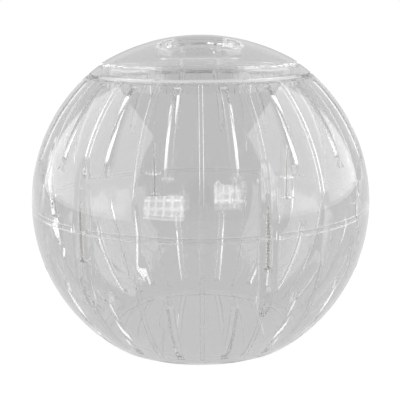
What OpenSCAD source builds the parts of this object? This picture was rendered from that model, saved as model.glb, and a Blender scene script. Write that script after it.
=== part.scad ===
// Clear running ball for a hamster, made of two moulded half shells, a plug lid
// and six screws. Units are millimetres and +Z is up. The flat base stands on z = 0.
// Features are placed by their azimuth: 0 faces -Y, and positive turns towards +X.

/* [Ball] */

// outside diameter of the ball
ball_d = 180; // [140:1:220]
// wall of both shells
wall_t = 2; // [1.6:0.1:2.6]
// wall at the seam, where the inside is a straight belt
belt_t = 4; // [3.6:0.1:4.6]
// diameter of the flat base
base_d = 108; // [100:1:116]
// thickness of the base plate
base_t = 2.4; // [2:0.1:3]
// depth of the shallow hollow under the base
base_hollow_depth = 0.6; // [0.3:0.1:0.8]
// width of the ring that the ball stands on
base_ring_w = 7; // [4:0.5:12]

/* [Seam] */

// height of the locating lip on the lower shell
lip_h = 2; // [1:0.1:3]
// thickness of the locating lip
lip_t = 1.3; // [1:0.1:1.6]
// play between the lip and its rebate
lip_play = 0.15; // [0.1:0.05:0.3]

/* [Slots and ribs] */

// sectors round the ball, each with one slot and one rib
sectors = 18; // [12:6:24]
// open width of an air slot
slot_gap_w = 2; // [1.6:0.1:3]
// width of a slot at the outside, across its drafted sides
slot_mouth_w = 3.8; // [3.4:0.1:4.6]
// depth of the drafted sides, nearly the whole wall
slot_draft_depth = 1.9; // [1.2:0.1:2]
// distance from the lid's edge to the high end of a slot, seen from above
slot_high_gap = 3; // [2.6:0.1:6.4]
// distance from the ball's widest line to the low end of a slot, seen from above
slot_low_inset = 6; // [5.6:0.1:10]
// width of the flared foot at its low end
foot_w = 6.9; // [5:0.1:8]
// height of the flared foot
foot_h = 5.2; // [3:0.1:6]
// depth of the foot below the slope of the wall, at its low end
foot_ledge = 0.9; // [0.5:0.1:1]
// narrow land of wall between a slot's end and its foot
foot_land = 0.3; // [0.2:0.05:0.5]
// width of an inner rib at its root
rib_w = 2; // [1.4:0.1:2.4]
// width of an inner rib at its crest
rib_crest_w = 1.45; // [0.8:0.05:1.8]
// height of an inner rib
rib_h = 1; // [0.6:0.1:1.4]

/* [Screws and bosses] */

// screws round the seam
screw_count = 6; // [6:6:6]
// azimuth of the first screw, on a rib
first_screw_azimuth = 20; // [20:20:40]
// distance from the ball's widest line to the axis of a screw
screw_inset = 5.5; // [5:0.1:6]
// outside diameter of the screw thread
thread_d = 2.3; // [2:0.1:2.6]
// diameter of the screw head
head_d = 4.4; // [4:0.1:4.8]
// height of the screw head
head_h = 1.4; // [1.1:0.1:1.8]
// length of the screw under its head
screw_length = 27.5; // [24:0.5:29]
// length of the screw's point
point_length = 2.6; // [2:0.1:3.4]
// distance from the seam down to the seat of the head
head_seat_depth = 12.9; // [11:0.1:14]
// diameter of a boss in the upper shell
upper_boss_d = 8; // [7.4:0.1:8.6]
// diameter of a boss in the lower shell
lower_boss_d = 9.6; // [9.4:0.1:10]
// diameter of the screwdriver tunnel
tunnel_d = 6.5; // [6:0.1:6.8]
// play of the screw in its holes, on the radius
screw_play = 0.05; // [0.03:0.01:0.1]
// depth of the pilot hole past the end of the screw
pilot_spare = 5.6; // [2:0.1:7]

/* [Mouth and lid] */

// diameter of the round mouth
mouth_d = 104; // [96:1:110]
// thickness of the seat ring round the mouth
seat_t = 2; // [1.6:0.1:2.4]
// distance that the lid's edge reaches past the mouth
lid_overhang = 5.6; // [5:0.1:5.7]
// height of the lid's outside edge
lid_edge_h = 1.3; // [1:0.1:1.8]
// wall of the lid
lid_t = 2; // [1.6:0.1:2.4]
// distance from the lid's edge to the step between the flange and the dome
step_inset = 6.8; // [6.6:0.1:7.6]
// height of that step
step_h = 1.75; // [1.2:0.05:2.4]
// rise of the flange, from the lid's edge to the shelf below the step
flange_rise = 3.7; // [3:0.1:4.2]
// rise of the dome above the step
dome_rise = 13.7; // [11:0.1:15]
// thickness of the plug skirt
skirt_t = 1.6; // [1.2:0.1:2]
// play of the plug skirt's lugs in the mouth
skirt_play = 0.35; // [0.3:0.05:0.5]
// depth of the plug skirt below the seat
skirt_depth = 6.4; // [4:0.1:8]
// height that a guide lug stands out
lug_h = 0.7; // [0.5:0.1:1]
// guide lugs round the skirt
lug_count = 8; // [4:4:12]
// width of a guide lug as an angle
lug_angle = 9; // [6:1:12]

/* [Finger pockets] */

// length of a finger pocket
pocket_l = 41; // [36:1:46]
// width of a finger pocket
pocket_w = 19.6; // [17:0.2:21]
// distance from the lid's centre to a pocket's centre
pocket_y = 20.5; // [18:0.1:21]
// height of the pocket floor above the seat
pocket_floor_h = 9.6; // [8:0.1:11]
// wall and floor of a pocket
pocket_t = 1.6; // [1.2:0.1:2]
// draft of a pocket's wall, from its top to its floor
pocket_draft = 0.8; // [0.4:0.1:1.2]
// round between the pocket's wall and its floor
pocket_round = 1; // [0.8:0.1:3]
// distance between the two webs under the lid, centre to centre
web_spacing = 17.4; // [12:0.2:24]
// thickness of a web
web_t = 1.4; // [1:0.1:2]

/* [Hidden] */

$fn = 128;
sweep_fn = 64;
hull_fn = 32;
// the tunnel is drawn with flat sides, which cut the round wall cleanly
tunnel_sides = 12;

ball_r = ball_d / 2;
inner_r = ball_r - wall_t;
belt_r = ball_r - belt_t;
base_r = base_d / 2;
half_share = 0.5;
lip_inset = 0.2;
lip_r = belt_r + lip_inset + lip_t;

// height of the sphere's centre, and of the seam, above the base
seam_z = sqrt(ball_r * ball_r - base_r * base_r);

// amount by which cutters pass through a face
past = 1;

// a boss is buried by this much less than the wall, so that it never shows outside
skin_t = 0.9;
boss_ball_r = ball_r - skin_t;

// lid and mouth, measured up from the seam
mouth_r = mouth_d / 2;
lid_r = mouth_r + lid_overhang;
step_r = lid_r - step_inset;
edge_top_z = sqrt(ball_r * ball_r - lid_r * lid_r);
seat_z = edge_top_z - lid_edge_h;
step_low_z = edge_top_z + flange_rise;
step_top_z = step_low_z + step_h;
dome_top_z = step_top_z + dome_rise;
dome_r = (step_r * step_r + dome_rise * dome_rise) / (2 * dome_rise);
dome_centre_z = dome_top_z - dome_r;
skirt_r = mouth_r - skirt_play - lug_h;
skirt_low_z = seat_z - skirt_depth;
floor_z = seat_z + pocket_floor_h;

// ribs start inside the belt and stop inside the seat ring
rib_r = inner_r - rib_h;
rib_start_share = 0.55;
rib_start_angle = rib_start_share * acos(belt_r / rib_r);
rib_root = 0.5;
rib_stop_share = 0.25;
rib_stop_angle = asin((seat_z - seat_t * rib_stop_share) / (inner_r + rib_root));

// slots, swept between two angles above the seam that lie wide of their upright ends
slot_low_angle = 5;
slot_high_angle = 62;
slot_high_r = lid_r + slot_high_gap;
slot_low_r = ball_r - slot_low_inset;
slot_end_z = sqrt(ball_r * ball_r - slot_low_r * slot_low_r);
slot_slope = (slot_mouth_w - slot_gap_w) * half_share / slot_draft_depth;
foot_tilt = atan(foot_ledge / foot_h);

// screws
screw_circle_r = ball_r - screw_inset;
thread_r = thread_d / 2;
hole_r = thread_r + screw_play;
head_r = head_d / 2;
crown_h = head_h * half_share;
tip_z = screw_length - head_seat_depth;
recess_w = 0.7;
recess_l = 2.6;
recess_depth = 0.9;
screw_step = 360 / screw_count;
sector_step = 360 / sectors;
half_turn = 180;

// parts
screw_names = [for (i = [1 : screw_count]) str("screw_", i)];

// Puts a feature at its azimuth and its distance from the axis.
module at_azimuth(azimuth, distance = 0) {
    rotate([0, 0, azimuth]) translate([0, -distance, 0]) children();
}

// Turns a flat profile, drawn as radius and side, along the meridian at azimuth 0.
module along_meridian(low_angle, high_angle) {
    rotate([90, 0, -90])
        rotate([0, 0, low_angle])
            rotate_extrude(angle = high_angle - low_angle, $fn = sweep_fn)
                children();
}

// Section of an air slot: a short parallel gap, then drafted sides to the outside.
module slot_section() {
    gap = slot_gap_w / 2;
    draft_r = ball_r - slot_draft_depth;
    wide = gap + (slot_draft_depth + past) * slot_slope;
    deep_r = inner_r - past;
    high_r = ball_r + past;
    polygon([[deep_r, -gap], [draft_r, -gap], [high_r, -wide],
             [high_r, wide], [draft_r, gap], [deep_r, gap]]);
}

// One air slot above the seam, with upright ends that let the mould open.
module slot_cut() {
    intersection() {
        along_meridian(slot_low_angle, slot_high_angle) slot_section();
        translate([-slot_mouth_w, -slot_low_r, 0])
            cube([slot_mouth_w * 2, slot_low_r - slot_high_r, ball_r]);
    }
}

// The flared, nearly upright recess that runs out below a slot.
module foot_cut() {
    top = slot_gap_w / 2;
    low = foot_w / 2;
    spread = (low - top) / foot_h;
    translate([0, -slot_low_r - foot_land, slot_end_z])
        rotate([90 - foot_tilt, 0, 0])
            linear_extrude(height = belt_t * 2)
                polygon([[-low, -foot_h], [low, -foot_h],
                         [top - spread * past, past], [-top + spread * past, past]]);
}

module slot_cuts() {
    for (i = [0 : sectors - 1])
        at_azimuth((i + half_share) * sector_step) {
            slot_cut();
            foot_cut();
        }
}

// Section of an inner rib, with draft on its sides and a root that is buried in the wall.
module rib_section() {
    root = rib_w / 2;
    crest = rib_crest_w / 2;
    buried_r = inner_r + rib_root;
    polygon([[rib_r, -crest], [inner_r, -root], [buried_r, -root],
             [buried_r, root], [inner_r, root], [rib_r, crest]]);
}

// Inner ribs on the meridians between the slots.
module ribs() {
    for (i = [0 : sectors - 1])
        at_azimuth(i * sector_step)
            along_meridian(rib_start_angle, rib_stop_angle)
                rib_section();
}

// Places its children at each screw, on the screw's axis.
module at_screws() {
    for (i = [0 : screw_count - 1])
        at_azimuth(first_screw_azimuth + i * screw_step, screw_circle_r) children();
}

// Solid columns against the inside of the wall, from the seam upwards.
module bosses(d) {
    intersection() {
        at_screws() cylinder(d = d, h = ball_r * half_share);
        sphere(r = boss_ball_r);
    }
}

// Inside of a half shell: a straight belt at the seam, then the inner sphere.
module hollow_section(top_z) {
    intersection() {
        circle(r = inner_r);
        translate([0, -past]) square([belt_r, top_z + past]);
    }
}

// Arcs of the locating lip between the bosses, or with play the rebate that takes them.
module lip_arcs(play) {
    gap_angle = 2 * asin((lower_boss_d / 2 + lip_play * 2 - play) / belt_r);
    for (i = [0 : screw_count - 1])
        rotate([0, 0, first_screw_azimuth + i * screw_step + gap_angle / 2 - 90])
            rotate_extrude(angle = screw_step - gap_angle)
                translate([lip_r - lip_t - play * 2, -past])
                    square([lip_t + play * 3, lip_h + play + past]);
}

module upper_solid() {
    rotate_extrude() difference() {
        intersection() {
            circle(r = ball_r);
            square([ball_r, seat_z]);
        }
        hollow_section(seat_z - seat_t);
        square([mouth_r, ball_r]);
    }
}

module upper_shell() {
    color([0.86, 0.87, 0.88, 0.4])
        translate([0, 0, seam_z]) difference() {
            union() {
                upper_solid();
                ribs();
                bosses(upper_boss_d);
            }
            lip_arcs(lip_play);
            slot_cuts();
            at_screws()
                translate([0, 0, -past])
                    cylinder(r = hole_r, h = tip_z + pilot_spare + past, $fn = hull_fn);
        }
}

// The lower half, drawn upside down.
module lower_solid() {
    rotate_extrude() difference() {
        intersection() {
            circle(r = ball_r);
            square([ball_r, seam_z]);
        }
        hollow_section(seam_z - base_t);
        translate([0, seam_z - base_hollow_depth])
            square([base_r - base_ring_w, base_hollow_depth + past]);
    }
}

// Clearance hole, seat of the head, and the tunnel that the screwdriver goes up.
module screw_way() {
    translate([0, 0, -past]) cylinder(r = hole_r, h = head_seat_depth + past * 2, $fn = hull_fn);
    translate([0, 0, head_seat_depth])
        cylinder(d = tunnel_d, h = ball_r * half_share, $fn = tunnel_sides);
}

module lower_shell() {
    color([0.84, 0.85, 0.86, 0.4])
        translate([0, 0, seam_z]) {
            mirror([0, 0, 1]) difference() {
                union() {
                    lower_solid();
                    ribs();
                    bosses(lower_boss_d);
                }
                slot_cuts();
                at_screws() screw_way();
            }
            lip_arcs(0);
        }
}

// Section of the shank and its point, from the head seat up.
module shank_section() {
    polygon([[0, 0], [thread_r, 0], [thread_r, screw_length - point_length], [0, screw_length]]);
}

// Low domed head, crown down, with a cross for the screwdriver.
module head_section() {
    crown_r = (head_r * head_r + crown_h * crown_h) / (2 * crown_h);
    intersection() {
        translate([0, crown_r - head_h]) circle(r = crown_r);
        translate([0, -head_h]) square([head_r, head_h]);
    }
}

module screw(index) {
    color([0.45, 0.45, 0.46])
        translate([0, 0, seam_z])
            at_azimuth(first_screw_azimuth + (index - 1) * screw_step, screw_circle_r)
                translate([0, 0, -head_seat_depth]) difference() {
                    rotate_extrude($fn = hull_fn) {
                        shank_section();
                        head_section();
                    }
                    for (turn = [0, 90])
                        rotate([0, 0, turn])
                            translate([-recess_l / 2, -recess_w / 2, -head_h - past])
                                cube([recess_l, recess_w, recess_depth + past]);
                }
}

// Section of the lid without its pockets: dome, step, flange and plug skirt.
// The flange goes on with the ball's own sphere, up to a narrow shelf below the step.
module lid_section() {
    inside_r = skirt_r - skirt_t;
    difference() {
        intersection() {
            translate([0, dome_centre_z]) circle(r = dome_r);
            square([step_r, dome_top_z + past]);
        }
        translate([0, dome_centre_z]) circle(r = dome_r - lid_t);
    }
    difference() {
        intersection() {
            circle(r = ball_r);
            translate([inside_r, seat_z]) square([lid_r - inside_r, flange_rise + lid_edge_h]);
        }
        intersection() {
            circle(r = ball_r - lid_t);
            translate([skirt_r, 0]) square([lid_r, ball_r]);
        }
    }
    translate([inside_r, seat_z]) square([step_r - inside_r, step_top_z - seat_z]);
    translate([inside_r, skirt_low_z]) square([skirt_t, skirt_depth + lid_edge_h]);
}

// Outline of a finger pocket, drawn in by the given distance.
module pocket_body(grow, low_z, high_z) {
    r_top = pocket_w / 2 + grow;
    r_low = r_top - pocket_draft;
    reach = (pocket_l - pocket_w) / 2;
    corner = pocket_round + grow;
    hull() for (side = [-1, 1]) translate([side * reach, 0, 0]) {
        translate([0, 0, high_z]) cylinder(r = r_top, h = past, $fn = sweep_fn);
        translate([0, 0, low_z + corner]) rotate_extrude($fn = sweep_fn)
            translate([r_low - corner, 0]) intersection() {
                circle(r = corner, $fn = hull_fn);
                translate([0, -corner]) square([corner, corner]);
            }
    }
}

module lid() {
    color([0.88, 0.89, 0.9, 0.4])
        translate([0, 0, seam_z]) difference() {
            union() {
                rotate_extrude() lid_section();
                intersection() {
                    for (side = [-1, 1]) translate([0, side * pocket_y, 0])
                        pocket_body(pocket_t, floor_z - pocket_t, dome_top_z);
                    translate([0, 0, dome_centre_z]) sphere(r = dome_r);
                }
                webs();
                lugs();
            }
            for (side = [-1, 1]) translate([0, side * pocket_y, 0])
                pocket_body(0, floor_z, dome_top_z + past);
        }
}

// Two webs at the front and two at the back tie the pockets to the skirt.
module webs() {
    web_low_z = step_low_z - lid_t;
    start = pocket_y + pocket_w * half_share;
    intersection() {
        for (side = [-1, 1], end = [0, half_turn])
            rotate([0, 0, end])
                translate([side * web_spacing / 2 - web_t / 2, -skirt_r + skirt_t / 2, web_low_z])
                    cube([web_t, skirt_r - skirt_t / 2 - start, dome_rise]);
        translate([0, 0, dome_centre_z]) sphere(r = dome_r - lid_t * half_share);
    }
}

// Low guide lugs round the skirt, below the seat ring.
module lugs() {
    for (i = [0 : lug_count - 1])
        rotate([0, 0, (i + half_share) * 360 / lug_count - lug_angle / 2 - 90])
            translate([0, 0, skirt_low_z])
                rotate_extrude(angle = lug_angle)
                    translate([skirt_r - skirt_t / 2, 0])
                        square([skirt_t / 2 + lug_h, skirt_depth]);
}

upper_shell();
lower_shell();
lid();
for (i = [1 : screw_count])
    screw(i);
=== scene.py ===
# %% [markdown]
# # A clear hamster ball
# The real object is a running ball of clear polystyrene: two half shells that meet at a seam,
# six long self-tapping screws that pull them together, and a lid that plugs the round mouth.
# Its shape is already packed as a CAD frame, so this script gives it its looks: clear plastic
# that mirrors as true curves, steel screws with real threads, and a plain bright studio.

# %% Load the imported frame
import math

import bmesh
import bpy
import numpy as np
from mathutils import Matrix, Vector


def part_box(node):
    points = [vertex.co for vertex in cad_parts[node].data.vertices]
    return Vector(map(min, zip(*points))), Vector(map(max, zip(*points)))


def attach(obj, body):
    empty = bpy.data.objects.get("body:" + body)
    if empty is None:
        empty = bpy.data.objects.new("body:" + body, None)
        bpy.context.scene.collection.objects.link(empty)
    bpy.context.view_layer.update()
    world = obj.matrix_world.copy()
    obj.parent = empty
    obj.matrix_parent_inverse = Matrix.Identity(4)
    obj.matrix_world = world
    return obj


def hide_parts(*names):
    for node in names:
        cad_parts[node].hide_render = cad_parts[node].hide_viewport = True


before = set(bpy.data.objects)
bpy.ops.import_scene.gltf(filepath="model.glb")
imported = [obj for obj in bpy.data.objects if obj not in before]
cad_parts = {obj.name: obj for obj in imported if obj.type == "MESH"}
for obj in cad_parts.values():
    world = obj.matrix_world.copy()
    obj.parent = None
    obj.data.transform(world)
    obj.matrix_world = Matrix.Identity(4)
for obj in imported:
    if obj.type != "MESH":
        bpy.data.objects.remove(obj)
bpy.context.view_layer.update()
MM = 0.001
print("CAD nodes:", sorted(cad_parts))

# %% [markdown]
# ## Sizes that come from the frame
# The ball is a sphere cut flat below, so a few corners of its CAD boxes give most places that
# the looks need. They could all be typed in again, but then they would not follow the CAD
# model. A box can't show how thick a wall is or how high a dome rises, so these few are typed.

# %% Read the main sizes
upper_low, upper_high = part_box("upper_shell")
lid_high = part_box("lid")[1]
BALL_R = upper_high.x
SEAM_Z = upper_low.z
CENTRE = Vector((0, 0, SEAM_Z))
WALL_T = 2 * MM
STEP_R = 50.8 * MM
DOME_RISE = 13.7 * MM
DOME_R = (STEP_R ** 2 + DOME_RISE ** 2) / (2 * DOME_RISE)
DOME_CENTRE = Vector((0, 0, lid_high.z - DOME_R))
print(f"ball radius {BALL_R / MM:.2f} mm, seam at {SEAM_Z / MM:.2f} mm")

# %% [markdown]
# ## The camera
# The photograph was taken with a long lens from a little above the seam. A camera could be
# turned by hand until the view looks right. This one's distance, angles and lens were worked
# out from the outline of the ball, the flat base and the lid, which all have to land on their
# own pixels.

# %% Place the camera
CAMERA_DISTANCE = 4.968 * BALL_R
CAMERA_AZIMUTH = math.radians(-0.40)
CAMERA_ELEVATION = math.radians(12.458)
CAMERA_ROLL = math.radians(0.40)
FOCAL_PX = 822.94
IMAGE_PX = 400
CENTRE_PX = (200.52, 200.44)
SENSOR_WIDTH = 36
CLIP_START = 0.01


def direction(azimuth, elevation):
    """The way from the ball to something seen at these angles. Azimuth 0 is the front."""
    return Vector((
        math.sin(azimuth) * math.cos(elevation),
        -math.cos(azimuth) * math.cos(elevation),
        math.sin(elevation),
    ))


def add_camera():
    """The photograph's camera, with the ball's centre on its own pixel."""
    data = bpy.data.cameras.new("camera")
    data.sensor_width = SENSOR_WIDTH
    data.lens = FOCAL_PX / IMAGE_PX * data.sensor_width
    data.shift_x = (IMAGE_PX / 2 - CENTRE_PX[0]) / IMAGE_PX
    data.shift_y = (CENTRE_PX[1] - IMAGE_PX / 2) / IMAGE_PX
    data.clip_start = CLIP_START
    camera = bpy.data.objects.new("camera", data)
    bpy.context.collection.objects.link(camera)
    back = direction(CAMERA_AZIMUTH, CAMERA_ELEVATION)
    camera.location = CENTRE + back * CAMERA_DISTANCE
    facing = (-back).to_track_quat("-Z", "Y").to_matrix()
    camera.rotation_euler = (facing @ Matrix.Rotation(-CAMERA_ROLL, 3, "Z")).to_euler()
    bpy.context.scene.camera = camera
    return camera


camera = add_camera()
print(f"lens {camera.data.lens:.1f} mm at {camera.location.length:.3f} m")

# %% [markdown]
# ## Helpers for materials
# Colours are written as the hex values that a picture shows, and shaders work in linear light,
# so one function turns one into the other, by the curve of the sRGB standard. Another adds a
# node with its settings and links. A Mix node has its A and B once for numbers and once for
# colours, all under the same letters, so these sockets are picked by their places.


# %% Colour and node helpers
NUMBER_A = 2
NUMBER_B = 3
NUMBER_OUT = 0
COLOUR_A = 6
COLOUR_B = 7
COLOUR_OUT = 2


def linear(hex_colour):
    """A linear RGBA colour from an sRGB hex value such as 'D8DADC'."""
    channels = [int(hex_colour[i:i + 2], 16) / 255 for i in (0, 2, 4)]
    return [c / 12.92 if c <= 0.04045 else ((c + 0.055) / 1.055) ** 2.4 for c in channels] + [1.0]


def add_node(tree, kind, inputs=None, **settings):
    """A node with its settings, and with its inputs set to values or linked to outputs."""
    node = tree.nodes.new(kind)
    for name, value in settings.items():
        setattr(node, name, value)
    for name, value in (inputs or {}).items():
        socket = node.inputs[name]
        if isinstance(value, bpy.types.NodeSocket):
            tree.links.new(value, socket)
        else:
            socket.default_value = value
    return node


def new_material(name):
    """An empty node material and its tree."""
    material = bpy.data.materials.new(name)
    material.use_nodes = True
    material.node_tree.nodes.clear()
    return material, material.node_tree


print("a mid grey of 808080 is", round(linear("808080")[0], 3), "in linear light")

# %% [markdown]
# ## The studio
# Clear plastic shows only what it mirrors and what lies behind it, so the room makes the
# picture. In the photograph the ball was cut out and set on white: straight through its walls
# and its open slots the backdrop is a plain middle grey, and brighter things show only as
# reflections. Low in the middle these are two windows with glazing bars and the dark pier of
# wall between them. The camera itself sees white. The windows could be meshes, but as a
# pattern in the world they are free of noise and cannot light anything.
# Each level of the room gives way to the next over a span of the way's X, Y or Z. The places in
# its front are slopes: how far aside and how far up for one step ahead, as a middle and a reach.

# %% Set the levels of the room
BACKDROP_GREY = 0.6
BACKDROP_HIGH = 0.7
SIDE_GLOW = 0.75
FRONT_GLOW = 0.6
TOP_GLOW = 0.72
ROOM_LIGHT = 0.4
WHITE = 1.0
BACKDROP_RISE = (0.02, 0.3)
SIDE_FADE = (0.2, 0.6)
FRONT_FADE = (0.0, -0.6)
TOP_FADE = (0.3, 0.9)
print("backdrop", BACKDROP_GREY, "and front", FRONT_GLOW)

# %% Draw the front of the room
BAR_GLOW = 3.6
PANE_GLOW = 1.8
PIER_GLOW = 0.42
RIGHT_WINDOW_SHARE = 0.45
LEFT_WINDOW = ((-0.47, 0.28), (0.11, 0.17))
RIGHT_WINDOW = ((0.32, 0.17), (0.25, 0.14))
PANES_PER_UNIT = 9
PANE_SIDE = 1.0
BAR_SHARE = 0.16
PIER = ((-0.045, 0.165), (0.25, 0.27))
PIER_EDGE = (1.05, 0.85)


def window(tree, across, up, place):
    """1 inside a window of the room's front. The place is its middle and reach, across and up."""
    inside = [
        add_node(tree, "ShaderNodeMath", {0: value, 1: middle, 2: reach}, operation="COMPARE")
        for value, (middle, reach) in zip((across, up), place)
    ]
    return add_node(tree, "ShaderNodeMath", {
        0: inside[0].outputs["Value"],
        1: inside[1].outputs["Value"],
    }, operation="MULTIPLY").outputs["Value"]


def pier(tree, across, up):
    """1 in the shade of the pier between the windows, fading to 0 at its edge."""
    (middle_across, reach_across), (middle_up, reach_up) = PIER
    aside = add_node(tree, "ShaderNodeMath", {0: across, 1: middle_across}, operation="SUBTRACT")
    above = add_node(tree, "ShaderNodeMath", {0: up, 1: middle_up}, operation="SUBTRACT")
    flat = add_node(tree, "ShaderNodeCombineXYZ", {0: aside.outputs[0], 1: above.outputs[0]})
    oval = add_node(tree, "ShaderNodeVectorMath", {
        0: flat.outputs[0],
        1: (1 / reach_across, 1 / reach_up, 0),
    }, operation="MULTIPLY")
    away = add_node(tree, "ShaderNodeVectorMath", {0: oval.outputs[0]}, operation="LENGTH")
    return add_node(tree, "ShaderNodeMapRange", {
        "Value": away.outputs["Value"],
        "From Min": PIER_EDGE[0],
        "From Max": PIER_EDGE[1],
    }).outputs["Result"]


def room_front(tree, way):
    """The level of the room in front of the ball: its walls, two windows and the pier."""
    ahead = add_node(tree, "ShaderNodeMath", {0: way["Y"], 1: -1.0}, operation="MULTIPLY")
    across, up = (
        add_node(tree, "ShaderNodeMath", {
            0: way[axis],
            1: ahead.outputs[0],
        }, operation="DIVIDE").outputs[0]
        for axis in ("X", "Z")
    )
    place = add_node(tree, "ShaderNodeCombineXYZ", {0: across, 1: up})
    panes = add_node(tree, "ShaderNodeTexBrick", {
        "Vector": place.outputs[0],
        "Scale": PANES_PER_UNIT,
        "Mortar Size": BAR_SHARE,
        "Brick Width": PANE_SIDE,
        "Row Height": PANE_SIDE,
    }, offset=0.0)
    glow = add_node(tree, "ShaderNodeMix", {
        "Factor": panes.outputs["Fac"],
        NUMBER_A: PANE_GLOW,
        NUMBER_B: BAR_GLOW,
    }, data_type="FLOAT")
    windows = add_node(tree, "ShaderNodeMath", {
        0: window(tree, across, up, RIGHT_WINDOW),
        1: RIGHT_WINDOW_SHARE,
        2: window(tree, across, up, LEFT_WINDOW),
    }, operation="MULTIPLY_ADD")
    walls = add_node(tree, "ShaderNodeMix", {
        "Factor": windows.outputs["Value"],
        NUMBER_A: FRONT_GLOW,
        NUMBER_B: glow.outputs[NUMBER_OUT],
    }, data_type="FLOAT")
    return add_node(tree, "ShaderNodeMix", {
        "Factor": pier(tree, across, up),
        NUMBER_A: walls.outputs[NUMBER_OUT],
        NUMBER_B: PIER_GLOW,
    }, data_type="FLOAT").outputs[NUMBER_OUT]


print("two windows with glazing bars", BAR_SHARE, "of a pane wide")

# %% Light the room
HALF_A_BOUNCE = 0.5
BOUNCES = 64


def mirrored(tree):
    """1 for a ray that something has mirrored, and 0 for one that only went through plastic."""
    path = add_node(tree, "ShaderNodeLightPath").outputs
    return add_node(tree, "ShaderNodeMath", {
        0: path["Glossy Depth"],
        1: HALF_A_BOUNCE,
    }, operation="GREATER_THAN").outputs["Value"]


def room(tree):
    """The level of the room all round, as a mirror shows it: one soft change after another."""
    generated = add_node(tree, "ShaderNodeTexCoord").outputs["Generated"]
    way = add_node(tree, "ShaderNodeSeparateXYZ", {0: generated}).outputs
    sideways = add_node(tree, "ShaderNodeMath", {0: way["X"]}, operation="ABSOLUTE")
    level = BACKDROP_GREY
    for value, span, beyond in (
        (way["Z"], BACKDROP_RISE, BACKDROP_HIGH),
        (sideways.outputs["Value"], SIDE_FADE, SIDE_GLOW),
        (way["Y"], FRONT_FADE, room_front(tree, way)),
        (way["Z"], TOP_FADE, TOP_GLOW),
    ):
        level = add_node(tree, "ShaderNodeMapRange", {
            "Value": value,
            "From Min": span[0],
            "From Max": span[1],
            "To Min": level,
            "To Max": beyond,
        }, interpolation_type="SMOOTHSTEP").outputs["Result"]
    return level


def build_world():
    """White to the camera, plain grey straight through plastic, and the whole room in mirrors."""
    world = bpy.data.worlds.new("studio")
    world.use_nodes = True
    tree = world.node_tree
    tree.nodes.clear()
    path = add_node(tree, "ShaderNodeLightPath").outputs
    shown = add_node(tree, "ShaderNodeMath", {
        0: path["Is Glossy Ray"],
        1: path["Is Transmission Ray"],
    }, operation="MAXIMUM")
    seen = add_node(tree, "ShaderNodeMix", {
        "Factor": mirrored(tree),
        NUMBER_A: BACKDROP_GREY,
        NUMBER_B: room(tree),
    }, data_type="FLOAT")
    around = add_node(tree, "ShaderNodeMix", {
        "Factor": shown.outputs["Value"],
        NUMBER_A: ROOM_LIGHT,
        NUMBER_B: seen.outputs[NUMBER_OUT],
    }, data_type="FLOAT")
    level = add_node(tree, "ShaderNodeMix", {
        "Factor": path["Is Camera Ray"],
        NUMBER_A: around.outputs[NUMBER_OUT],
        NUMBER_B: WHITE,
    }, data_type="FLOAT")
    background = add_node(tree, "ShaderNodeBackground", {
        "Color": (1, 1, 1, 1),
        "Strength": level.outputs[NUMBER_OUT],
    })
    add_node(tree, "ShaderNodeOutputWorld", {"Surface": background.outputs["Background"]})
    bpy.context.scene.world = world


build_world()
bpy.context.scene.view_settings.view_transform = "Standard"
cycles = bpy.context.scene.cycles
cycles.max_bounces = BOUNCES
cycles.transmission_bounces = BOUNCES
cycles.glossy_bounces = BOUNCES
print("a ray may cross", BOUNCES, "skins")

# %% [markdown]
# ## The light tent
# The ball stood between two glowing side walls, and they give its bright wedges and the lines
# along its slots. They could be part of the world's pattern, but that is endlessly far away,
# and the edges of a near wall land elsewhere. So each is an area light at its own distance.
# Straight through the plastic no wall shows, so both glow for mirrored rays alone.

# %% Stand the walls of the light tent
WALL_DISTANCE = 1.0
WALL_SIZE = (1.7, 1.5)
WALL_FOOT = -0.05
WALL_BACK_SHIFT = 0.05
WALL_AZIMUTHS = (-82, 82)
WALL_GLOW = 1.1


def add_wall(azimuth):
    """A glowing side wall that faces the ball and reaches further back than to the front."""
    light = bpy.data.lights.new("tent_wall", "AREA")
    light.shape = "RECTANGLE"
    light.size, light.size_y = WALL_SIZE
    # A flat light's glow is its power over pi and its area.
    light.energy = WALL_GLOW * math.pi * WALL_SIZE[0] * WALL_SIZE[1]
    light.use_nodes = True
    tree = light.node_tree
    tree.nodes.clear()
    glow = add_node(tree, "ShaderNodeEmission", {"Strength": mirrored(tree)})
    add_node(tree, "ShaderNodeOutputLight", {"Surface": glow.outputs[0]})
    wall = bpy.data.objects.new("tent_wall", light)
    bpy.context.collection.objects.link(wall)
    angle = math.radians(azimuth)
    away = direction(angle, 0)
    along = direction(angle + math.copysign(math.pi / 2, azimuth), 0)
    foot = CENTRE + away * WALL_DISTANCE + along * WALL_BACK_SHIFT
    wall.location = foot + Vector((0, 0, WALL_FOOT + WALL_SIZE[1] / 2))
    wall.rotation_euler = away.to_track_quat("Z", "Y").to_euler()
    return wall


for azimuth in WALL_AZIMUTHS:
    add_wall(azimuth)
print(len(WALL_AZIMUTHS), "tent walls")

# %% [markdown]
# ## The floor
# The photograph's floor is burnt out to white. A floor of pure light would also lose the
# shadow, so most of its white is its own light and the rest is a matt white that takes shade.
# Through the plastic it is nearly the same grey as the backdrop, and in mirrors it is a lit floor.

# %% Lay the floor
FLOOR_SIZE = 12
FLOOR_TO_CAMERA = 0.92
FLOOR_IN_MIRRORS = 0.6
FLOOR_GREY = 0.55
FLOOR_WHITE = "A8A8A8"


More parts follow.
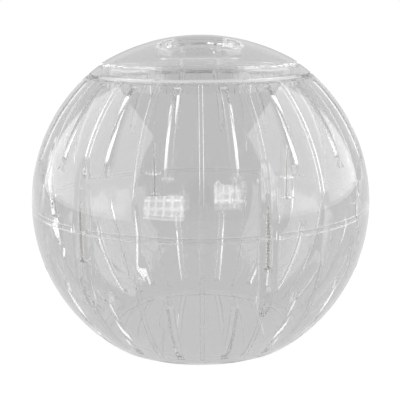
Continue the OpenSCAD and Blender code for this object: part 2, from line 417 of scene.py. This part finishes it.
def white_floor():
    """Matt white card, seen burnt out but for a trace of the ball's shadow."""
    material, tree = new_material("matt_white_card")
    path = add_node(tree, "ShaderNodeLightPath").outputs
    to_mirrors = add_node(tree, "ShaderNodeMath", {
        0: path["Is Glossy Ray"],
        1: FLOOR_IN_MIRRORS,
    }, operation="MULTIPLY")
    own = add_node(tree, "ShaderNodeMath", {
        0: path["Is Camera Ray"],
        1: FLOOR_TO_CAMERA,
        2: to_mirrors.outputs["Value"],
    }, operation="MULTIPLY_ADD")
    glow = add_node(tree, "ShaderNodeEmission", {"Strength": own.outputs["Value"]})
    card = add_node(tree, "ShaderNodeBsdfDiffuse", {"Color": linear(FLOOR_WHITE)})
    lit = add_node(tree, "ShaderNodeAddShader", {0: glow.outputs[0], 1: card.outputs[0]})
    grey = add_node(tree, "ShaderNodeEmission", {"Strength": FLOOR_GREY})
    either = add_node(tree, "ShaderNodeMixShader", {
        0: path["Is Transmission Ray"],
        1: lit.outputs[0],
        2: grey.outputs[0],
    })
    add_node(tree, "ShaderNodeOutputMaterial", {"Surface": either.outputs[0]})
    return material


def lay_floor():
    """A wide flat sheet at the height of the ball's base."""
    half = FLOOR_SIZE / 2
    corners = [(-half, -half, 0), (half, -half, 0), (half, half, 0), (-half, half, 0)]
    mesh = bpy.data.meshes.new("floor")
    mesh.from_pydata(corners, [], [(0, 1, 2, 3)])
    floor = bpy.data.objects.new("floor", mesh)
    bpy.context.collection.objects.link(floor)
    mesh.materials.append(white_floor())
    return floor


lay_floor()
print("floor", FLOOR_SIZE, "m wide")

# %% [markdown]
# ## Clear polystyrene
# The shells and the lid are injection moulded in clear general-purpose polystyrene. It bends
# light more than window glass does, it takes away a little light at each wall, and its skin is
# glossy but never quite flat: the melt shrinks as it cools and leaves soft waves.
# A bore is a pocket of air, and solid plastic round it would bend the view of its screw to a
# hair. In the photograph the bosses are faint and the front screws show whole, while those at
# the back, seen from inside the ball, hardly show. So a boss and the outer half of its bore
# get a much weaker bend, and the inner half of the bore keeps the full one.
# The mould is polished where the ball is round. The narrow sides of its slots and ribs are cut
# by sparks, which leaves them a little dull, so their bright lines are soft and not burnt out.

# %% Make the clear plastic
POLYSTYRENE_IOR = 1.59
BOSS_IOR = 1.06
SHELL_TINT = "F9F9F9"
LID_TINT = "FAFAFA"
SINK_WAVE = 24 * MM
SINK_DEPTH = 0.02 * MM
SINK_DETAIL = 1.0
SINK_ROUGHNESS = 0.4
SINK_SPAN = (0.35, 0.7)
POLISHED = (0.0, 0.015)
SPARK_CUT = (0.18, 0.26)


def clear_polystyrene(name, tint, ior=POLYSTYRENE_IOR, dullness=POLISHED):
    """Moulded clear polystyrene: a skin with the soft sink waves of a cooled moulding."""
    material, tree = new_material(name)
    place = add_node(tree, "ShaderNodeTexCoord").outputs["Object"]
    waves = add_node(tree, "ShaderNodeTexNoise", {
        "Vector": place,
        "Scale": 1 / SINK_WAVE,
        "Detail": SINK_DETAIL,
        "Roughness": SINK_ROUGHNESS,
    })
    skin = add_node(tree, "ShaderNodeBump", {"Height": waves.outputs[0], "Distance": SINK_DEPTH})
    polish = add_node(tree, "ShaderNodeMapRange", {
        "Value": waves.outputs[0],
        "From Min": SINK_SPAN[0],
        "From Max": SINK_SPAN[1],
        "To Min": dullness[0],
        "To Max": dullness[1],
    })
    plastic = add_node(tree, "ShaderNodeBsdfPrincipled", {
        "Base Color": linear(tint),
        "Roughness": polish.outputs["Result"],
        "IOR": ior,
        "Transmission Weight": 1.0,
        "Normal": skin.outputs["Normal"],
    })
    add_node(tree, "ShaderNodeOutputMaterial", {"Surface": plastic.outputs[0]})
    return material


skin_plastic = clear_polystyrene("clear_moulded_polystyrene", SHELL_TINT)
lid_plastic = clear_polystyrene("clear_moulded_polystyrene_lid", LID_TINT)
boss_plastic = clear_polystyrene("clear_moulded_polystyrene_boss", SHELL_TINT, BOSS_IOR)
side_plastic = clear_polystyrene(
    "clear_spark_cut_polystyrene_sides", SHELL_TINT, dullness=SPARK_CUT,
)
print("polystyrene bends light by", POLYSTYRENE_IOR)

# %% [markdown]
# ## Shells that mirror as true curves
# The CAD mesh is made of flat triangles. Left as they are, a mirror-smooth ball would show
# every one of them, so each corner is given the direction of the real sphere that it lies on.
# Subdividing could also smooth it, but it would round the slots and bosses as well.
# The CAD mesh is also loose triangles, so each moulding is a copy with its corners joined.

# %% Copy the mesh of a moulding
MERGE_DISTANCE = 0.002 * MM


def merged_mesh(node, name):
    """A copy of a CAD node's mesh with its loose triangles joined at their corners."""
    mesh = bpy.data.meshes.new(name)
    shape = bmesh.new()
    shape.from_mesh(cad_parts[node].data)
    bmesh.ops.remove_doubles(shape, verts=shape.verts, dist=MERGE_DISTANCE)
    shape.to_mesh(mesh)
    shape.free()
    if "custom_normal" in mesh.attributes:
        mesh.attributes.remove(mesh.attributes["custom_normal"])
    mesh.materials.clear()
    return mesh


def vertex_places(mesh):
    """The places of a mesh's vertices, one in a row."""
    return np.array([v.co for v in mesh.vertices])


print("corners closer than", MERGE_DISTANCE / MM, "mm become one")

# %% [markdown]
# ## The direction of each corner
# A corner lies on a sphere when its distance from the sphere's centre is the radius, and its
# face follows that sphere when the two point nearly the same way. Only then does the corner
# take the sphere's direction, and a bore or a slot side that starts there keeps its own.

# %% Work out the true normals
CREASE = math.radians(20)
SPHERE_TOLERANCE = 0.03 * MM
TRUE_LEANING = math.cos(math.radians(14))
SOFT_LEANING = math.cos(math.radians(24))
SPHERES = (
    (CENTRE, BALL_R, False),
    (CENTRE, BALL_R - WALL_T, True),
    (DOME_CENTRE, DOME_R, False),
    (DOME_CENTRE, DOME_R - WALL_T, False),
)


def true_normals(mesh):
    """Corner normals: those of the spheres that the moulding follows, and smooth ones elsewhere.

    Inside the ball, a face that only touches the sphere takes its normal at that corner too,
    so that the straight belt turns into the sphere as softly as the moulding does.
    """
    mesh.shade_smooth()
    mesh.set_sharp_from_angle(angle=CREASE)
    normals = np.array([n.vector for n in mesh.corner_normals])
    corners = np.array([loop.vertex_index for loop in mesh.loops])
    faces = np.repeat(np.arange(len(mesh.polygons)), [p.loop_total for p in mesh.polygons])
    places = vertex_places(mesh)[corners]
    flat = np.array([p.normal for p in mesh.polygons])[faces]
    for centre, radius, softly in SPHERES:
        away = places - np.array(centre)
        distance = np.linalg.norm(away, axis=1)
        outwards = away / distance[:, None]
        leaning = np.sum(flat * outwards, axis=1)
        limit = SOFT_LEANING if softly else TRUE_LEANING
        here = (np.abs(distance - radius) < SPHERE_TOLERANCE) & (np.abs(leaning) > limit)
        if not softly:
            here = (np.bincount(faces, weights=here) == np.bincount(faces))[faces]
        normals[here] = (outwards * np.sign(leaning)[:, None])[here]
    return normals


print(len(SPHERES), "spheres give the mouldings their normals")

# %% [markdown]
# ## The plastic of each face
# Bosses, bores and the narrow sides of slots and ribs are one moulding with the shell, and only
# their finish differs. They could be cut off as meshes of their own, but a face can simply carry
# another material. A face belongs to a boss when all its corners stand near a screw's axis, and
# to a side when it is turned more than 40 degrees away from the sphere's own direction.

# %% Mark the bosses, the bores and the spark-cut sides
SCREW_COUNT = 6
BOSS_REACH = 5.2 * MM
BORE_REACH = 1.6 * MM
STEEP = math.cos(math.radians(40))
SKIN, BOSS, SIDE = range(3)
shell_plastics = (skin_plastic, boss_plastic, side_plastic)


def screw_axes():
    """Where the screws stand, seen from above."""
    boxes = [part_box(f"screw_{i + 1}") for i in range(SCREW_COUNT)]
    return np.array([[(low.x + high.x) / 2, (low.y + high.y) / 2] for low, high in boxes])


def mark_faces(mesh):
    """Gives each face of a shell its plastic: polished skin, weakly bending boss or dull side."""
    axes = screw_axes()
    circle = np.linalg.norm(axes, axis=1).mean()
    places = vertex_places(mesh)
    from_axis = np.linalg.norm(places[:, None, :2] - axes[None], axis=2).min(axis=1)
    near_screw = from_axis < BOSS_REACH
    in_bore = from_axis < BORE_REACH
    on_skin = np.linalg.norm(places - np.array(CENTRE), axis=1) > BALL_R - SPHERE_TOLERANCE
    for face in mesh.polygons:
        own = list(face.vertices)
        outwards = (face.center - CENTRE).normalized()
        inner_half = in_bore[own].all() and face.center.xy.length < circle
        if near_screw[own].all() and not on_skin[own].all():
            face.material_index = SKIN if inner_half else BOSS
        elif abs(face.normal.dot(outwards)) < STEEP:
            face.material_index = SIDE


print(len(screw_axes()), "bosses a shell, with", len(shell_plastics), "plastics")

# %% [markdown]
# ## The three mouldings
# Each moulding takes the place of its CAD node. Where two touch, as at the seam, the real ones
# have a film of air between them. Meshes that touch would share one surface there, and the light
# could not tell which plastic it enters, so each skin is drawn in by a hair.

# %% Dress the three mouldings
SKIN_GAP = 0.012 * MM


def draw_in(mesh, gap):
    """Moves a skin inwards by a hair, so that two pieces that touch are two surfaces."""
    vertex_normals = np.array([v.vector for v in mesh.vertex_normals])
    places = vertex_places(mesh) - vertex_normals * gap
    mesh.vertices.foreach_set("co", places.ravel())


def clear_piece(node, name, plastics, body):
    """A clear moulding that stands for a CAD node, with true normals and its own plastics."""
    mesh = merged_mesh(node, name)
    normals = true_normals(mesh)
    for plastic in plastics:
        mesh.materials.append(plastic)
    if len(plastics) > 1:
        mark_faces(mesh)
    draw_in(mesh, SKIN_GAP)
    mesh.normals_split_custom_set([tuple(n) for n in normals])
    piece = bpy.data.objects.new(name, mesh)
    bpy.context.collection.objects.link(piece)
    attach(piece, body)
    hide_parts(node)
    print(f"{name}: {len(mesh.polygons)} triangles")
    return piece


clear_piece("upper_shell", "clear_upper_shell", shell_plastics, "ball")
clear_piece("lower_shell", "clear_lower_shell", shell_plastics, "ball")
clear_piece("lid", "clear_lid", (lid_plastic,), "lid")

# %% [markdown]
# ## Zinc-plated steel
# The screws are bright zinc-plated steel. Plating follows the drawn wire below it, so the
# shine is broken by fine grain, and it is duller in some places than in others. One flat grey
# could also pass at this size, but close by it would look like paint.

# %% Make the screw steel
STEEL_GREY = "F4F3F0"
STEEL_DULL = "E2E0DC"
STEEL_POLISH = (0.2, 0.4)
GRAIN = 0.6 * MM
GRAIN_DEPTH = 0.01 * MM
GRAIN_DETAIL = 2.0


def zinc_plated_steel():
    """Bright zinc plating over drawn wire: fine grain in its colour, its polish and its skin."""
    material, tree = new_material("zinc_plated_steel")
    place = add_node(tree, "ShaderNodeTexCoord").outputs["Object"]
    grain = add_node(tree, "ShaderNodeTexNoise", {
        "Vector": place,
        "Scale": 1 / GRAIN,
        "Detail": GRAIN_DETAIL,
    })
    colour = add_node(tree, "ShaderNodeMix", {
        "Factor": grain.outputs[0],
        COLOUR_A: linear(STEEL_GREY),
        COLOUR_B: linear(STEEL_DULL),
    }, data_type="RGBA")
    rough = add_node(tree, "ShaderNodeMapRange", {
        "Value": grain.outputs[0],
        "To Min": STEEL_POLISH[0],
        "To Max": STEEL_POLISH[1],
    })
    skin = add_node(tree, "ShaderNodeBump", {"Height": grain.outputs[0], "Distance": GRAIN_DEPTH})
    steel = add_node(tree, "ShaderNodeBsdfPrincipled", {
        "Base Color": colour.outputs[COLOUR_OUT],
        "Metallic": 1.0,
        "Roughness": rough.outputs["Result"],
        "Normal": skin.outputs["Normal"],
    })
    add_node(tree, "ShaderNodeOutputMaterial", {"Surface": steel.outputs[0]})
    return material


steel = zinc_plated_steel()
print("grain of", GRAIN / MM, "mm on", steel.name)

# %% [markdown]
# ## Screws with real threads
# Six thin self-tapping screws pull the shells together, each up from below through a tunnel.
# The CAD screws are plain, because a thread is detail. It could be a bump in the steel, but
# then its outline would stay straight. Here Geometry Nodes winds it as a spiral and closes it
# in on the point, adds the core and the domed head with its cross, and sets the screw on every
# boss. One tree does it for all six, and its inputs are the sizes.
# The head is a hair narrower than the CAD model's, so that it stays inside it.

# %% Read the screws' sizes
screw_low, screw_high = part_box("screw_1")
screw_middle = (screw_low + screw_high) / 2
SCREW_CIRCLE_R = math.hypot(screw_middle.x, screw_middle.y)
SCREW_ANGLE = math.atan2(screw_middle.y, screw_middle.x)
HEAD_SHARE = 0.995
HEAD_R = (screw_high.x - screw_low.x) / 2 * HEAD_SHARE
HEAD_H = 1.4 * MM
SEAT_Z = screw_low.z + HEAD_H
SCREW_LENGTH = screw_high.z - SEAT_Z
THREAD_R = 1.1 * MM
CORE_R = 0.62 * MM
POINT_LENGTH = 2.6 * MM
PITCH = 1.5 * MM
print(f"screws {SCREW_LENGTH / MM:.1f} mm long on a circle of {SCREW_CIRCLE_R / MM:.1f} mm")

# %% Wind the thread
THREAD_STEPS = 24
THREAD_NARROWING = 0.6
THREAD_SIDES = 4
POINT_END_SHARE = 0.05


def thread(tree, inputs):
    """The thread: a narrow rhombus swept along a spiral that closes in at the point."""
    turns = add_node(tree, "ShaderNodeMath", {
        0: inputs["Length"],
        1: inputs["Pitch"],
    }, operation="DIVIDE").outputs[0]
    spiral = add_node(tree, "GeometryNodeCurveSpiral", {
        "Resolution": THREAD_STEPS,
        "Rotations": turns,
        "Start Radius": CORE_R,
        "End Radius": CORE_R,
        "Height": inputs["Length"],
    })
    along = add_node(tree, "GeometryNodeSplineParameter").outputs["Factor"]
    narrowing = add_node(tree, "ShaderNodeMapRange", {
        "Value": along,
        "From Min": 1 - POINT_LENGTH / SCREW_LENGTH,
        "From Max": 1.0,
        "To Min": 1.0,
        "To Max": POINT_END_SHARE,
    }).outputs["Result"]
    place = add_node(tree, "GeometryNodeInputPosition")
    squeeze = add_node(tree, "ShaderNodeCombineXYZ", {0: narrowing, 1: narrowing, 2: 1.0})
    closer = add_node(tree, "ShaderNodeVectorMath", {
        0: place.outputs[0],
        1: squeeze.outputs[0],
    }, operation="MULTIPLY")
    tapered = add_node(tree, "GeometryNodeSetPosition", {
        "Geometry": spiral.outputs["Curve"],
        "Position": closer.outputs[0],
    })
    upright = add_node(tree, "GeometryNodeSetCurveNormal", {
        "Curve": tapered.outputs["Geometry"],
    }, mode="Z_UP")
    square = add_node(tree, "GeometryNodeCurvePrimitiveCircle", {
        "Resolution": THREAD_SIDES,
        "Radius": inputs["Thread Height"],
    })
    rhombus = add_node(tree, "GeometryNodeTransform", {
        "Geometry": square.outputs["Curve"],
        "Scale": (1, THREAD_NARROWING, 1),
    })
    return add_node(tree, "GeometryNodeCurveToMesh", {
        "Curve": upright.outputs["Curve"],
        "Profile Curve": rhombus.outputs["Geometry"],
        "Scale": narrowing,
        "Fill Caps": True,
    }).outputs["Mesh"]


print(f"{SCREW_LENGTH / PITCH:.0f} turns of thread on each screw")

# %% Shape the core and the head
CORE_SIDES = 24
HEAD_SIDES = 32
HEAD_RINGS = 12
CROSS_WIDTH = 0.7 * MM
CROSS_LENGTH = 2.6 * MM
CROSS_DEPTH = 0.9 * MM
CROSS_OVERRUN = 1 * MM


def lifted(tree, kind, offset, inputs):
    """A mesh primitive of the tree, lifted along the screw's axis."""
    solid = add_node(tree, kind, inputs)
    return add_node(tree, "GeometryNodeTransform", {
        "Geometry": solid.outputs["Mesh"],
        "Translation": (0, 0, offset),
    }).outputs["Geometry"]


def head(tree):
    """The head: half a flattened ball, crown down, with a cross cut into it."""
    ball = add_node(tree, "GeometryNodeMeshUVSphere", {
        "Segments": HEAD_SIDES,
        "Rings": HEAD_RINGS,
        "Radius": HEAD_R,
    })
    place = add_node(tree, "GeometryNodeInputPosition").outputs[0]
    parts = add_node(tree, "ShaderNodeSeparateXYZ", {0: place}).outputs
    below = add_node(tree, "ShaderNodeMath", {0: parts["Z"], 1: 0.0}, operation="MINIMUM")
    low = add_node(tree, "ShaderNodeMath", {
        0: below.outputs[0],
        1: HEAD_H / HEAD_R,
    }, operation="MULTIPLY")
    domed = add_node(tree, "ShaderNodeCombineXYZ", {
        0: parts["X"],
        1: parts["Y"],
        2: low.outputs[0],
    })
    dome = add_node(tree, "GeometryNodeSetPosition", {
        "Geometry": ball.outputs["Mesh"],
        "Position": domed.outputs[0],
    })
    cross = add_node(tree, "GeometryNodeMeshBoolean", operation="DIFFERENCE")
    tree.links.new(dome.outputs["Geometry"], cross.inputs["Mesh 1"])
    for size in ((CROSS_LENGTH, CROSS_WIDTH), (CROSS_WIDTH, CROSS_LENGTH)):
        cut = lifted(tree, "GeometryNodeMeshCube", (CROSS_DEPTH - CROSS_OVERRUN) / 2 - HEAD_H, {
            "Size": (*size, CROSS_DEPTH + CROSS_OVERRUN),
        })
        tree.links.new(cut, cross.inputs["Mesh 2"])
    return cross.outputs["Mesh"]


def core(tree):
    """The core under the thread: a straight rod and its point."""
    straight = SCREW_LENGTH - POINT_LENGTH
    return [
        lifted(tree, "GeometryNodeMeshCone", offset, {
            "Vertices": CORE_SIDES,
            "Radius Top": top,
            "Radius Bottom": CORE_R,
            "Depth": depth,
        })
        for offset, top, depth in ((0, CORE_R, straight), (straight, 0.0, POINT_LENGTH))
    ]


print(f"heads {2 * HEAD_R / MM:.2f} mm across and {HEAD_H / MM:.1f} mm high")


# %% Build the tree of the six screws
def screw_tree():
    """The Geometry Nodes tree of the six screws, and the values of its inputs."""
    tree = bpy.data.node_groups.new("threaded_screws", "GeometryNodeTree")
    sizes = {"Length": SCREW_LENGTH, "Pitch": PITCH, "Thread Height": THREAD_R - CORE_R}
    for name in sizes:
        tree.interface.new_socket(name, in_out="INPUT", socket_type="NodeSocketFloat")
    tree.interface.new_socket("Count", in_out="INPUT", socket_type="NodeSocketInt")
    tree.interface.new_socket("Geometry", in_out="OUTPUT", socket_type="NodeSocketGeometry")
    inputs = add_node(tree, "NodeGroupInput").outputs
    screw = add_node(tree, "GeometryNodeJoinGeometry")
    for part in (*core(tree), thread(tree, inputs), head(tree)):
        tree.links.new(part, screw.inputs["Geometry"])
    ring = add_node(tree, "GeometryNodeMeshCircle", {
        "Vertices": inputs["Count"],
        "Radius": SCREW_CIRCLE_R,
    })
    seats = add_node(tree, "GeometryNodeTransform", {
        "Geometry": ring.outputs["Mesh"],
        "Translation": (0, 0, SEAT_Z),
        "Rotation": (0, 0, SCREW_ANGLE),
    })
    screws = add_node(tree, "GeometryNodeInstanceOnPoints", {
        "Points": seats.outputs["Geometry"],
        "Instance": screw.outputs["Geometry"],
    })
    real = add_node(tree, "GeometryNodeRealizeInstances", {
        "Geometry": screws.outputs["Instances"],
    })
    done = add_node(tree, "GeometryNodeSetMaterial", {
        "Geometry": real.outputs["Geometry"],
        "Material": steel,
    })
    add_node(tree, "NodeGroupOutput", {"Geometry": done.outputs["Geometry"]})
    return tree, {**sizes, "Count": SCREW_COUNT}


tree, sizes = screw_tree()
print(len(tree.nodes), "nodes and the inputs", ", ".join(sizes))


# %% Grow the screws
def grow_screws(tree, sizes):
    """Runs the tree on an empty mesh and keeps its result as a plain mesh."""
    seed = bpy.data.objects.new("screw_seed", bpy.data.meshes.new("screw_seed"))
    bpy.context.collection.objects.link(seed)
    modifier = seed.modifiers.new("screws", "NODES")
    modifier.node_group = tree
    for socket in tree.interface.items_tree:
        if socket.in_out == "INPUT":
            modifier[socket.identifier] = sizes[socket.name]
    bpy.context.view_layer.update()
    finished = seed.evaluated_get(bpy.context.evaluated_depsgraph_get())
    mesh = bpy.data.meshes.new_from_object(finished)
    seed.modifiers.remove(modifier)
    bpy.data.objects.remove(seed)
    mesh.name = "threaded_screws"
    mesh.shade_smooth()
    mesh.set_sharp_from_angle(angle=CREASE)
    screws = bpy.data.objects.new("threaded_screws", mesh)
    bpy.context.collection.objects.link(screws)
    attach(screws, "ball")
    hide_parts(*[f"screw_{i + 1}" for i in range(SCREW_COUNT)])
    return screws


screws = grow_screws(tree, sizes)
print(SCREW_COUNT, "screws with", len(screws.data.polygons), "faces in all")
